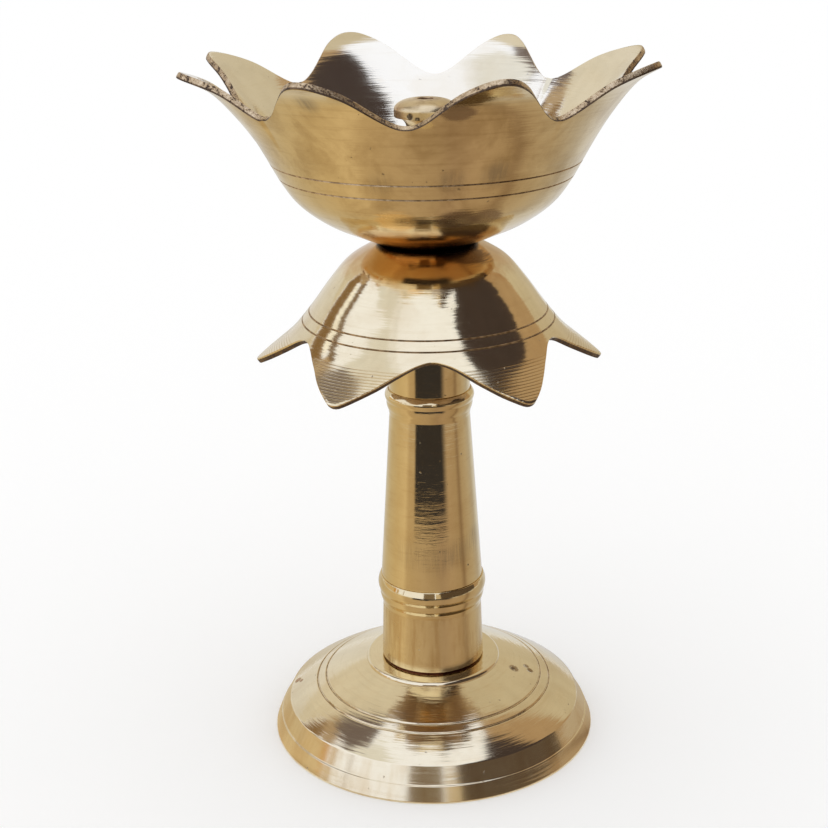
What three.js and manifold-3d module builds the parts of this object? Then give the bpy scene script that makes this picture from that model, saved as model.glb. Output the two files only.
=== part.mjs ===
// Lotus pedestal diya: a brass oil lamp with a lotus bowl above an upturned lotus skirt,
// on a turned stem and a domed base. The pieces seat on one another by locating spigots. One rod
// through the middle clamps them between the wick holder in the bowl and a nut under the base.
// Millimetres, +Z up. The origin is the middle of the foot ring, on the surface the lamp stands on.
import * as THREE from 'three';
import { mergeVertices } from 'three/addons/utils/BufferGeometryUtils.js';
import Module from 'manifold-3d';

const wasm = await Module();
wasm.setup();
const { lerp, degToRad } = THREE.MathUtils;

// Fits
const fitClearance = 0.3; // round pieces inside one another, on the radius
const spigotRadius = 6.5;
const spigotHeight = 3;
const crownSpigotHeight = 1;

// Tie rod and its fastenings
const rodRadius = 2.5;
const rodThreadPitch = 0.8;
const threadTurns = 7.5; // turns of thread that the wick holder is screwed on by
const rodTailLength = 1.5; // below the nut
const nutWidth = 8; // across its flats
const nutHeight = 4;
const washerRadius = 7.5;
const washerThickness = 1.2;
const rodChamfer = 0.4;

// Base
const footRadius = 38;
const footRingWidth = 3.4;
const rimLineHeight = 3.6;
const rimLineInset = 1.7;
const creaseHeight = 7.4;
const creaseInset = 3.6;
const shoulderInset = 7.1; // of the dome, inside the crease
const shoulderRise = 5.1; // of the dome, above the crease
const baseGrooveInsets = [10.3, 12.4];
const baseWall = 2.6;
const landRadius = 15.3; // flat that the stem stands on
const landHeight = 17.5;
const landBevel = 1.3;
const landEdge = 0.2; // small step between the bevel and the flat
const bossRadius = 9;
const bossHeight = 9; // of its flat underside, above the surface
const hollowShares = [1, 0.7, 0.4, 0.1]; // points of the hollow, as shares of the dome's curve
const domeShares = [0.2, 0.8]; // points of the dome outside its two grooves

// Stem
const stemFootHeight = 21;
const stemFootRadius = 11.95;
const stemWaistRadius = 11.5;
const stemWaistHeight = 13.7;
const footUndercutHeight = 0.5; // shadow line where the stem meets the base
const footUndercutDepth = 0.5;
const shaftHeight = 45.5;
const shaftFootRadius = 11.75;
const shaftTopRadius = 9.12;
const neckHeight = 31.2;
const neckRadius = 9.15;
const beadHeight = 3.9;
const beadSwell = 0.5;
const ringHeight = 2.2;
const ringSwell = 0.15;
const ringStep = 0.6; // radius gained from the waist below a bead to the bead
const beadLip = 0.25; // radius of a bead's top edge beyond the piece above it
const upperBeadHeight = 2.6;

// Both lotus pieces
const hubThickness = 2.4;
const hubSeatRadius = neckRadius + 0.5;
const hubFade = 14; // length over which a hub thins to the wall
const hubStart = 3.5; // where the inner face starts, along the outline
const leanStart = 8.5; // below the notches, where a bent petal starts to lean
const leanFade = 0.35; // how sharply the lean ends at the notches
const petalRootSetback = 1; // last plain ring below the notches
const grooveWidth = 0.7;
const grooveDepth = 0.35;

// Lower lotus, the skirt of petals that hangs over the stem
const skirtCrownRadius = 10.3;
const skirtTipRadius = 38.7;
const skirtDrop = 26.8;
const skirtWall = 1.4;
const skirtPetals = 6;
const skirtNotchDepth = 12.5;
const skirtGrooveSetbacks = [4.7, 2.2];
const skirtTurn = 0; // angle of a notch from the front
const skirtNotchShifts = [0.9, 3.3, 0, 0, 0, -5.4]; // degrees from an even spacing, as cut by hand
const skirtTipTrims = [0.2, 0, 0.6, 0.6, 0, 0.5]; // length that each petal falls short by
const skirtLeans = [0];
const skirtRimRoundness = 0.18; // 0 is a straight slope from notch to tip, 1 a full wave
const skirtRimPower = 1.4; // above 1 widens the notches and narrows the tips
const skirtCurve = [
  [0, 0], [0.13, 0.063], [0.271, 0.164], [0.412, 0.343], [0.57, 0.571], [0.746, 0.787], [1, 1],
];

// Upper lotus, the oil bowl
const bowlCrownRadius = 10.6;
const bowlTipRadius = 51;
const bowlRise = 39.4;
const bowlWall = 1.4;
const bowlPetals = 8;
const bowlNotchDepth = 14.5;
const bowlGrooveSetbacks = [17.1, 13.6];
const bowlTurn = -4.8;
const bowlNotchShifts = [-1, -1.4, 3.1, 3.8, 0.6, 5.9, 2.5, -3.3];
const bowlTipTrims = [0.7, 0.2, 0.2, 2.9, 1.3, 0, 0, 2.1];
const bowlLeans = [0, 0.7, 2.1, 0, 0, 2.2, 2.4, 0]; // outward bend of each petal at its tip
const bowlRimRoundness = 0.31;
const bowlRimPower = 1.18;
const bowlCurve = [
  [0, 0], [0.134, 0.061], [0.282, 0.132], [0.418, 0.234], [0.505, 0.35],
  [0.599, 0.525], [0.708, 0.718], [0.842, 0.896], [1, 1],
];

// Wick holder
const sealRadius = 7.5;
const sealThickness = 1;
const flangeRadius = 7;
const flangeThickness = 1.5;
const stalkRadius = 4.1;
const wickHoleRadius = 1.7;
const wickHolderHeight = 27.3;
const stalkFillet = 0.8;
const headRadius = 6.6;
const headHeight = 4; // from the widest ring to the top
const headBand = 1; // height of the widest ring
const headFlareHeight = 3.4; // under the widest ring
const wickLipRadius = 3.2; // flat ring round the wick's hole
const oilPortRadius = 1.2;

// Steps round each kind of piece
const roundSteps = 36;
const smallSteps = 24;
const columnsPerPetal = 10;
const petalRows = 3;

// Heights of the stack, from the base up
const stemFootTop = landHeight + stemFootHeight;
const shaftTop = stemFootTop + shaftHeight;
const hubUnderside = shaftTop + neckHeight;
const crownHeight = hubUnderside + hubThickness;
const bowlFloor = crownHeight + hubThickness;
const flangeBottom = bowlFloor + sealThickness;
const boreRadius = rodRadius + fitClearance;
const recessRadius = spigotRadius + fitClearance;
const threadLength = rodThreadPitch * threadTurns;
const rodTop = flangeBottom + flangeThickness + threadLength;
const nutTop = bossHeight - washerThickness;
const rodBottom = nutTop - nutHeight - rodTailLength;

const point = (radius, height) => new THREE.Vector2(radius, height);

// A closed outline of radii and heights, spun about the lamp's axis.
function turned(outline, steps = roundSteps) {
  const geometry = new THREE.LatheGeometry([...outline, outline[0]], steps);
  return geometry.rotateX(Math.PI / 2);
}

// Points of a rounded swelling between two points of an outline.
function swelling(from, to, swell, steps = 4) {
  const points = [];
  for (let step = 0; step <= steps; step++) {
    const share = step / steps;
    const radius = lerp(from.x, to.x, share) + swell * Math.sin(Math.PI * share);
    points.push(point(radius, lerp(from.y, to.y, share)));
  }
  return points;
}

// Seat of a piece that stands on the spigot of the piece below.
function seatBelow(height) {
  return [
    point(boreRadius, height + spigotHeight + fitClearance),
    point(recessRadius, height + spigotHeight + fitClearance),
    point(recessRadius, height),
  ];
}

// Locating spigot on top of a piece.
function spigotAbove(height, rise = spigotHeight) {
  return [point(spigotRadius, height), point(spigotRadius, height + rise), point(boreRadius, height + rise)];
}

// Ring and bead that finish a stem piece below the joint with the next one.
function ringAndBead(waist, top, height) {
  const ringTop = point(waist.x + ringStep, top.y - height);
  const ringBottom = point(waist.x + ringStep / 3, ringTop.y - ringHeight);
  return [...swelling(ringBottom, ringTop, ringSwell, 2), ...swelling(ringTop, top, beadSwell).slice(1)];
}

// Domed base with two rim facets, two grooves, a raised land and a hollow with a boss under it.
function makeBase() {
  const crease = point(footRadius - creaseInset, creaseHeight);
  const shoulder = point(crease.x - shoulderInset, crease.y + shoulderRise);
  const domeTop = point(landRadius + landBevel, landHeight - landBevel);
  const dome = new THREE.QuadraticBezierCurve(crease, shoulder, domeTop);
  const face = (share, depth) => {
    const tangent = dome.getTangent(share);
    return dome.getPoint(share).add(point(-tangent.y, tangent.x).multiplyScalar(depth));
  };
  const shareAtRadius = (radius) => {
    let [low, high] = [0, 1];
    for (let pass = 0; pass < 30; pass++) {
      const middle = (low + high) / 2;
      if (dome.getPoint(middle).x > radius) low = middle;
      else high = middle;
    }
    return low;
  };
  const outside = [face(0, 0), face(domeShares[0], 0)];
  for (const inset of baseGrooveInsets) {
    const radius = footRadius - inset;
    outside.push(face(shareAtRadius(radius + grooveWidth / 2), 0));
    outside.push(face(shareAtRadius(radius), grooveDepth));
    outside.push(face(shareAtRadius(radius - grooveWidth / 2), 0));
  }
  outside.push(face(domeShares[1], 0), domeTop);
  const inside = hollowShares.map((share) => face(share, baseWall));
  return turned([
    point(boreRadius, bossHeight),
    point(bossRadius, bossHeight),
    point(bossRadius, inside[0].y),
    ...inside,
    point(footRadius - footRingWidth, 0),
    point(footRadius, 0),
    point(footRadius - rimLineInset, rimLineHeight),
    ...outside,
    point(landRadius + landEdge, landHeight - landEdge),
    point(landRadius, landHeight),
    ...spigotAbove(landHeight),
  ]);
}

function makeStemFoot() {
  const waist = point(stemWaistRadius, landHeight + stemWaistHeight);
  const top = point(shaftFootRadius + beadLip, stemFootTop);
  return turned([
    ...seatBelow(landHeight),
    point(stemFootRadius - footUndercutDepth, landHeight),
    point(stemFootRadius - footUndercutDepth, landHeight + footUndercutHeight),
    point(stemFootRadius, landHeight + footUndercutHeight),
    waist,
    ...ringAndBead(waist, top, beadHeight),
    ...spigotAbove(stemFootTop),
  ]);
}

function makeStemShaft() {
  const waistHeight = shaftTop - upperBeadHeight - 1.5 * ringHeight;
  const waist = point(shaftTopRadius, waistHeight);
  const top = point(neckRadius + beadLip, shaftTop);
  return turned([
    ...seatBelow(stemFootTop),
    point(shaftFootRadius, stemFootTop),
    waist,
    ...ringAndBead(waist, top, upperBeadHeight),
    ...spigotAbove(shaftTop),
  ]);
}

function makeNeck() {
  return turned([
    ...seatBelow(shaftTop),
    point(neckRadius, shaftTop),
    point(neckRadius, hubUnderside),
    ...spigotAbove(hubUnderside, crownSpigotHeight),
  ]);
}

// Height of a petal's rim between a notch (phase 0) and a tip (phase 1), from 0 to 1.
function rimShare(phase, roundness, power) {
  const wave = (1 - Math.cos(Math.PI * phase)) / 2;
  return lerp(phase, wave, roundness) ** power;
}

// Section of a lotus piece whose wall ends at the given distance along its outline. A petal that
// leans is moved outward in step with the distance past the start of the lean.
function lotusSection(shape, rimDistance, lean) {
  const { outline, length, root, notch, grooves, inward } = shape;
  const face = (distance, depth) => {
    const share = Math.min(1, distance / length);
    const tangent = outline.getTangentAt(share);
    const bend = lean * Math.max(0, (distance - notch + leanStart) / (length - notch + leanStart));
    const offset = (depth - bend) * inward;
    return outline.getPointAt(share).add(point(-tangent.y, tangent.x).multiplyScalar(offset));
  };
  const wallAt = (distance) => lerp(hubThickness, shape.wall, Math.min(1, distance / hubFade));
  const half = grooveWidth / 2;
  const outer = [];
  const plainSteps = 4;
  for (let step = 0; step <= plainSteps; step++) {
    outer.push(face(((grooves[0] - half) * step) / plainSteps, 0));
  }
  outer.push(face(grooves[0], grooveDepth), face(grooves[0] + half, 0));
  outer.push(face(grooves[1] - half, 0), face(grooves[1], grooveDepth), face(grooves[1] + half, 0));
  outer.push(face((grooves[1] + half + root) / 2, 0), face(root, 0));
  const innerDistances = [hubStart, root / 3, (2 * root) / 3, root];
  const inner = innerDistances.map((distance) => face(distance, wallAt(distance)));
  for (let row = 1; row <= petalRows; row++) {
    const distance = lerp(root, rimDistance, row / petalRows);
    outer.push(face(distance, 0));
    inner.push(face(distance, shape.wall));
  }
  const loop = [point(boreRadius, crownHeight), ...outer, ...inner.reverse(), ...shape.hub];
  return inward > 0 ? loop : loop.reverse();
}

// Cut petals: one section for each column, closer together at the notches and the tips.
function makeLotus(options) {
  const { crownRadius, tipRadius, rise, curve, notchDepth, petals, turn } = options;
  const { notchShifts, tipTrims, leans, rimRoundness, rimPower } = options;
  const ofPetal = (list, petal) => list[(petal % petals) % list.length];
  const notchAngle = (petal) => {
    const even = (2 * Math.PI * petal) / petals;
    return even - Math.PI / 2 + degToRad(turn + ofPetal(notchShifts, petal));
  };
  const place = ([across, along]) => point(lerp(crownRadius, tipRadius, across), crownHeight + along * rise);
  const outline = new THREE.SplineCurve(curve.map(place));
  const length = outline.getLength();
  const notch = length - notchDepth;
  const root = notch - petalRootSetback;
  const grooves = options.grooveSetbacks.map((setback) => notch - setback);
  const shape = { ...options, outline, length, notch, root, grooves };
  const positions = [];
  let rows = 0;
  for (let column = 0; column < petals * columnsPerPetal; column++) {
    const even = (column % columnsPerPetal) / columnsPerPetal;
    const across = even - Math.sin(4 * Math.PI * even) / (8 * Math.PI);
    const phase = 1 - Math.abs(2 * across - 1);
    const petal = Math.floor(column / columnsPerPetal);
    const angle = lerp(notchAngle(petal), notchAngle(petal + 1), across);
    const tip = length - ofPetal(tipTrims, petal);
    const rimDistance = lerp(notch, tip, rimShare(phase, rimRoundness, rimPower));
    const lean = ofPetal(leans, petal) * Math.sin(Math.PI * across) ** leanFade;
    const section = lotusSection(shape, rimDistance, lean);
    rows = section.length;
    for (const { x, y } of section) {
      positions.push(x * Math.cos(angle), x * Math.sin(angle), y);
    }
  }
  return closedSweep(positions, petals * columnsPerPetal, rows);
}

// Joins rings of points, one ring for each column, into one closed surface round the axis.
function closedSweep(positions, columns, rows) {
  const indices = [];
  for (let column = 0; column < columns; column++) {
    const next = (column + 1) % columns;
    for (let row = 0; row < rows; row++) {
      const above = (row + 1) % rows;
      const [a, b] = [column * rows + row, next * rows + row];
      const [c, d] = [next * rows + above, column * rows + above];
      indices.push(a, b, c, a, c, d);
    }
  }
  const geometry = new THREE.BufferGeometry();
  geometry.setAttribute('position', new THREE.Float32BufferAttribute(positions, 3));
  geometry.setIndex(indices);
  geometry.computeVertexNormals();
  return geometry;
}

function makeLowerLotus() {
  const recessTop = hubUnderside + crownSpigotHeight + fitClearance;
  return makeLotus({
    crownRadius: skirtCrownRadius,
    tipRadius: skirtTipRadius,
    rise: -skirtDrop,
    curve: skirtCurve,
    wall: skirtWall,
    petals: skirtPetals,
    notchDepth: skirtNotchDepth,
    grooveSetbacks: skirtGrooveSetbacks,
    turn: skirtTurn,
    notchShifts: skirtNotchShifts,
    tipTrims: skirtTipTrims,
    leans: skirtLeans,
    rimRoundness: skirtRimRoundness,
    rimPower: skirtRimPower,
    inward: -1,
    hub: [
      point(hubSeatRadius, hubUnderside),
      point(recessRadius, hubUnderside),
      point(recessRadius, recessTop),
      point(boreRadius, recessTop),
    ],
  });
}

function makeUpperLotus() {
  return makeLotus({
    crownRadius: bowlCrownRadius,
    tipRadius: bowlTipRadius,
    rise: bowlRise,
    curve: bowlCurve,
    wall: bowlWall,
    petals: bowlPetals,
    notchDepth: bowlNotchDepth,
    grooveSetbacks: bowlGrooveSetbacks,
    turn: bowlTurn,
    notchShifts: bowlNotchShifts,
    tipTrims: bowlTipTrims,
    leans: bowlLeans,
    rimRoundness: bowlRimRoundness,
    rimPower: bowlRimPower,
    inward: 1,
    hub: [point(hubSeatRadius, bowlFloor), point(boreRadius, bowlFloor)],
  });
}

// Solid of a geometry, for cutting.
function solidOf(geometry) {
  const bare = geometry.clone();
  bare.deleteAttribute('normal');
  bare.deleteAttribute('uv');
  const merged = mergeVertices(bare, 1e-3);
  return new wasm.Manifold(new wasm.Mesh({
    numProp: 3,
    vertProperties: new Float32Array(merged.attributes.position.array),
    triVerts: new Uint32Array(merged.index.array),
  }));
}

function geometryOf(solid) {
  const mesh = solid.getMesh();
  const geometry = new THREE.BufferGeometry();
  geometry.setAttribute('position', new THREE.Float32BufferAttribute(mesh.vertProperties, 3));
  geometry.setIndex([...mesh.triVerts]);
  geometry.computeVertexNormals();
  return geometry;
}

// Points of a quarter ellipse that starts upright at one point and ends flat at another.
function quarterRound(from, to, steps = 3) {
  const points = [];
  for (let step = 0; step <= steps; step++) {
    const angle = (Math.PI / 2) * (step / steps);
    points.push(point(lerp(from.x, to.x, 1 - Math.cos(angle)), lerp(from.y, to.y, Math.sin(angle))));
  }
  return points;
}

// Mushroom knob with the wick's hole, a foot that screws down on the rod, and a cross-drilled
// port that lets oil reach the wick above the rod's end.
function makeWickHolder() {
  const top = flangeBottom + wickHolderHeight;
  const widest = top - headHeight;
  const boreTop = rodTop + fitClearance;
  const portHeight = boreTop + 2 * oilPortRadius;
  const body = turned([
    point(boreRadius, flangeBottom),
    point(flangeRadius, flangeBottom),
    point(flangeRadius, flangeBottom + flangeThickness),
    point(stalkRadius + stalkFillet, flangeBottom + flangeThickness),
    point(stalkRadius, flangeBottom + flangeThickness + stalkFillet),
    ...quarterRound(point(stalkRadius, widest - headFlareHeight), point(headRadius, widest)),
    ...quarterRound(point(headRadius, widest + headBand), point(wickLipRadius, top)),
    point(wickHoleRadius, top),
    point(wickHoleRadius, boreTop),
    point(boreRadius, boreTop),
  ], smallSteps);
  const port = new THREE.CylinderGeometry(oilPortRadius, oilPortRadius, 4 * stalkRadius, 12);
  port.rotateZ(Math.PI / 2).translate(0, 0, portHeight);
  return geometryOf(solidOf(body).subtract(solidOf(port)));
}

function makeRing(innerRadius, outerRadius, bottom, thickness) {
  return turned([
    point(innerRadius, bottom),
    point(outerRadius, bottom),
    point(outerRadius, bottom + thickness),
    point(innerRadius, bottom + thickness),
  ], smallSteps);
}

function makeRod() {
  const outline = [
    point(0, rodBottom),
    point(rodRadius - rodChamfer, rodBottom),
    point(rodRadius, rodBottom + rodChamfer),
    point(rodRadius, rodTop - rodChamfer),
    point(rodRadius - rodChamfer, rodTop),
    point(0, rodTop),
  ];
  return new THREE.LatheGeometry(outline, smallSteps).rotateX(Math.PI / 2);
}

function makeNut() {
  const corner = nutWidth / 2 / Math.cos(Math.PI / 6);
  const hexagon = new THREE.Shape();
  for (let side = 0; side < 6; side++) {
    const angle = (side * Math.PI) / 3;
    const [x, y] = [corner * Math.cos(angle), corner * Math.sin(angle)];
    if (side === 0) hexagon.moveTo(x, y);
    else hexagon.lineTo(x, y);
  }
  hexagon.closePath();
  hexagon.holes.push(new THREE.Path().absarc(0, 0, boreRadius, 0, 2 * Math.PI, true));
  const extrusion = { depth: nutHeight, bevelEnabled: false, curveSegments: smallSteps / 2 };
  const geometry = new THREE.ExtrudeGeometry(hexagon, extrusion);
  return geometry.translate(0, 0, nutTop - nutHeight);
}

const brass = (color, roughness) => new THREE.MeshStandardMaterial({ color, roughness, metalness: 1 });
const steel = () => new THREE.MeshStandardMaterial({ color: '#9a9a96', roughness: 0.4, metalness: 1 });
const leather = () => new THREE.MeshStandardMaterial({ color: '#5a3a24', roughness: 0.8, metalness: 0 });

const lamp = new THREE.Group();

function addPiece(name, geometry, material) {
  const mesh = new THREE.Mesh(geometry, material);
  mesh.name = name;
  lamp.add(mesh);
}

addPiece('base', makeBase(), brass('#c9ad74', 0.28));
addPiece('stem_foot', makeStemFoot(), brass('#c2a060', 0.3));
addPiece('stem_shaft', makeStemShaft(), brass('#c2a060', 0.28));
addPiece('neck_sleeve', makeNeck(), brass('#c2a060', 0.3));
addPiece('lower_lotus', makeLowerLotus(), brass('#c6a566', 0.26));
addPiece('upper_lotus', makeUpperLotus(), brass('#bb9d62', 0.34));
addPiece('wick_holder', makeWickHolder(), brass('#b39256', 0.4));
addPiece('bowl_seal', makeRing(boreRadius, sealRadius, bowlFloor, sealThickness), leather());
addPiece('tie_rod', makeRod(), steel());
addPiece('base_washer', makeRing(boreRadius, washerRadius, nutTop, washerThickness), steel());
addPiece('base_nut', makeNut(), steel());

export default lamp;
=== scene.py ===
import bisect
import math

import bmesh
import bpy
from mathutils import Matrix, Vector, noise


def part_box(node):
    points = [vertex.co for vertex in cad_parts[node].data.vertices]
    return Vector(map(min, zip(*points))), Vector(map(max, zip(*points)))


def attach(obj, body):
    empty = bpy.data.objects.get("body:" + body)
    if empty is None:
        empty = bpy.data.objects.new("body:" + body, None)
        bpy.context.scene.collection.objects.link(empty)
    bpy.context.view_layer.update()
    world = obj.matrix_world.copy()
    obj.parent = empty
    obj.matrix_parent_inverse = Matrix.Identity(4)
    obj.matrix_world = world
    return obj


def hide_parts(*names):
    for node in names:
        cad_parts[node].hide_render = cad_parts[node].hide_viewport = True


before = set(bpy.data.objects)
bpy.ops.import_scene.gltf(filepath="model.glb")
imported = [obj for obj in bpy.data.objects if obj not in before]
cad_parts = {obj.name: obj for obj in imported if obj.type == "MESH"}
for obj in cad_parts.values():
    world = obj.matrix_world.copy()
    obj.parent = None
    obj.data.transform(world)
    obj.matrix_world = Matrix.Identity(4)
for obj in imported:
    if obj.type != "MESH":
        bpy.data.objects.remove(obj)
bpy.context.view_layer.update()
mm = 0.001
fullTurn = 2 * math.pi
print("frame loaded")


# Heights that the pieces share, read from the frame where a box gives them
def heightOf(node, end):
    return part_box(node)[end].z / mm


fit = {"gap": 0.3, "spigotRadius": 6.5, "spigotHeight": 3.0, "crownSpigot": 1.0}
heights = {
    "land": heightOf("stem_foot", 0),
    "shaft": heightOf("stem_shaft", 0),
    "neck": heightOf("neck_sleeve", 0),
    "hub": heightOf("neck_sleeve", 1) - fit["crownSpigot"],
    "floor": heightOf("bowl_seal", 0),
    "flange": heightOf("wick_holder", 0),
}
hubThickness = (heights["floor"] - heights["hub"]) / 2
heights["crown"] = heights["hub"] + hubThickness
rodRadius = (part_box("tie_rod")[1].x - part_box("tie_rod")[0].x) / 2 / mm
boreRadius = rodRadius + fit["gap"]
recessRadius = fit["spigotRadius"] + fit["gap"]


# A node socket that can stand in a Python sum
class Wire:
    def __init__(self, finish, socket):
        self.finish = finish
        self.socket = socket

    def join(self, operation, other, swapped=False):
        pair = (other, self) if swapped else (self, other)
        return self.finish.maths(operation, *pair)

    def __add__(self, other):
        return self.join("ADD", other)

    def __radd__(self, other):
        return self.join("ADD", other)

    def __sub__(self, other):
        return self.join("SUBTRACT", other)

    def __rsub__(self, other):
        return self.join("SUBTRACT", other, True)

    def __mul__(self, other):
        return self.join("MULTIPLY", other)

    def __rmul__(self, other):
        return self.join("MULTIPLY", other)

    def __truediv__(self, other):
        return self.join("DIVIDE", other)

    def __pow__(self, other):
        return self.join("POWER", other)


# A material whose nodes are added one by one
class Finish:
    def __init__(self, name):
        self.material = bpy.data.materials.new(name)
        self.material.use_nodes = True
        self.tree = self.material.node_tree
        self.tree.nodes.clear()

    # One node: its settings are set first, then the values or links of its sockets
    def add(self, kind, settings=None, inputs=None, output=0):
        node = self.tree.nodes.new(kind)
        for name, value in (settings or {}).items():
            setattr(node, name, value)
        for name, value in (inputs or {}).items():
            if isinstance(value, Wire):
                self.tree.links.new(value.socket, node.inputs[name])
            else:
                node.inputs[name].default_value = value
        return Wire(self, node.outputs[output]) if node.outputs else node

    def maths(self, operation, *values):
        return self.add("ShaderNodeMath", {"operation": operation}, dict(enumerate(values)))

    def clamped(self, value):
        return self.add("ShaderNodeMath", {"operation": "ADD", "use_clamp": True}, {0: value, 1: 0.0})

    # Place on the piece, in millimetres
    def place(self):
        spot = self.add("ShaderNodeTexCoord", None, None, 3)
        return self.add("ShaderNodeVectorMath", {"operation": "SCALE"}, {0: spot, 3: 1 / mm})

    def noise(self, vector, scale, detail=2.0, roughness=0.5, distortion=0.0):
        inputs = {"Vector": vector, "Scale": scale, "Detail": detail, "Roughness": roughness}
        return self.add("ShaderNodeTexNoise", None, {**inputs, "Distortion": distortion})

    # 0 at low and 1 at high, smooth between them; high may be the smaller
    def step(self, value, low, high):
        inputs = {"Value": value, "From Min": low, "From Max": high}
        return self.add("ShaderNodeMapRange", {"interpolation_type": "SMOOTHSTEP"}, inputs)

    # 1 within a share of the reach of a spot, and 0 beyond the reach
    def near(self, place, spot, reach, core):
        gap = self.add("ShaderNodeVectorMath", {"operation": "DISTANCE"}, {0: place, 1: spot}, 1)
        return self.step(gap, reach, reach * core)

    def blend(self, factor, first, second):
        colours = [(*c, 1.0) if isinstance(c, tuple) else c for c in (first, second)]
        settings = {"data_type": "RGBA", "blend_type": "MIX"}
        return self.add("ShaderNodeMix", settings, {0: factor, 6: colours[0], 7: colours[1]}, 2)

    # Blends between (place, colour) stops
    def ramp(self, value, stops):
        wire = self.add("ShaderNodeValToRGB", None, {0: value})
        elements = wire.socket.node.color_ramp.elements
        for place, _ in stops[1:-1]:
            elements.new(place)
        for element, (place, colour) in zip(elements, stops):
            element.position = place
            element.color = (*colour, 1.0)
        return wire

    def split(self, vector):
        node = self.tree.nodes.new("ShaderNodeSeparateXYZ")
        self.tree.links.new(vector.socket, node.inputs[0])
        return [Wire(self, output) for output in node.outputs]

    def joined(self, x, y, z):
        return self.add("ShaderNodeCombineXYZ", None, {0: x, 1: y, 2: z})

    def bump(self, height, depth=1.0):
        inputs = {"Strength": 1.0, "Distance": depth * mm, "Height": height}
        return self.add("ShaderNodeBump", None, inputs)

    def principled(self, colour, roughness, normal, metallic=1.0):
        inputs = {"Base Color": colour, "Roughness": roughness, "Metallic": metallic, "Normal": normal}
        return self.surface(self.add("ShaderNodeBsdfPrincipled", None, inputs))

    def surface(self, shader):
        self.add("ShaderNodeOutputMaterial", None, {"Surface": shader})
        return self.material


# Turned brass, in millimetres. The tool's marks run round the axis, and travel is the way along the outline
# that they cross, from its shares of height and radius. Broad marks wave the reflections, fine ones fray
# them. The dull values are added roughness. Painted bands are painted shade and painted reflections laid
# by height: each has the heights where it starts and is full, its tint and strength. A mark has its kind,
# middle, reach, tint and strength; pits and smudges are real marks, and patches are painted shade, painted
# reflections and painted highlights. Patches are flatter than they are wide.
turned = {
    "roughness": 0.09, "broad": 1.6, "broadDepth": 0.05, "fine": 0.34, "fineDepth": 0.022, "streaks": 0.2,
    "streakDull": 0.03, "cloud": 0.5, "cloudSize": 16.0, "dull": 0.08, "grain": 0.3, "specks": 0.5,
    "speckColour": (0.10, 0.055, 0.03), "speckDull": 0.3, "speckDepth": 0.05, "ringPitch": 0.72,
    "ringDepth": 0.0, "ringsFrom": 0.0, "ringTarnish": 0.0, "ringDull": 0.05, "dullBelow": 0.0,
    "matte": 0.17, "matteTarnish": 0.8, "stains": (), "blemishes": (), "pitDepth": 0.1,
    "markDull": 0.2, "flatness": 1.7,
}


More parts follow.
